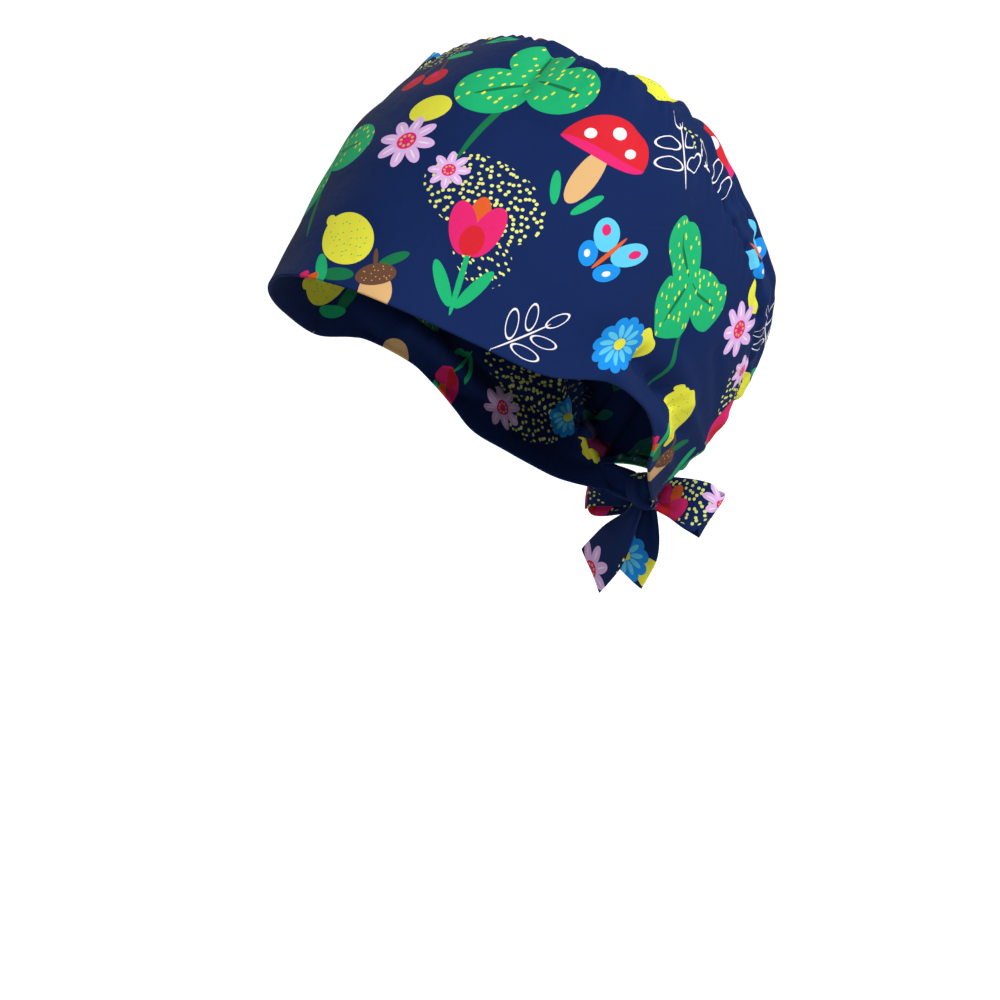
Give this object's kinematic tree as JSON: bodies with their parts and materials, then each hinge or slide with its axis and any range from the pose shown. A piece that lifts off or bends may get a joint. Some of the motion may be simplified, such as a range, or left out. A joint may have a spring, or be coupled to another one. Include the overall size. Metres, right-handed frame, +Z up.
{
  "type": "surgical scrub cap",
  "caption": "Tie-back cloth scrub cap in its worn form: a tall folded front panel, a gathered crown pouch and two ties in a bow at the nape.",
  "frame": {"origin": "centre of the head opening at the height of the ear tops, where the cap sits on a head", "axes": "+X to the wearer's left, -Y to the front, +Z up"},
  "size_m": [0.1828, 0.2421, 0.2738],
  "materials": {
    "printed_cotton": "plain-weave navy cotton with a bright garden print",
    "tie_cotton": "plain-weave navy cotton with a bright garden print"
  },
  "bodies": {
    "root": {"front_panel": "printed_cotton", "crown_panel": "printed_cotton", "tie_knot": "tie_cotton", "tie_left_lead": "tie_cotton", "tie_right_lead": "tie_cotton", "tie_left_loop": "tie_cotton", "tie_right_loop": "tie_cotton", "tie_left_tail": "tie_cotton", "tie_right_tail": "tie_cotton"}
  },
  "joints": []
}
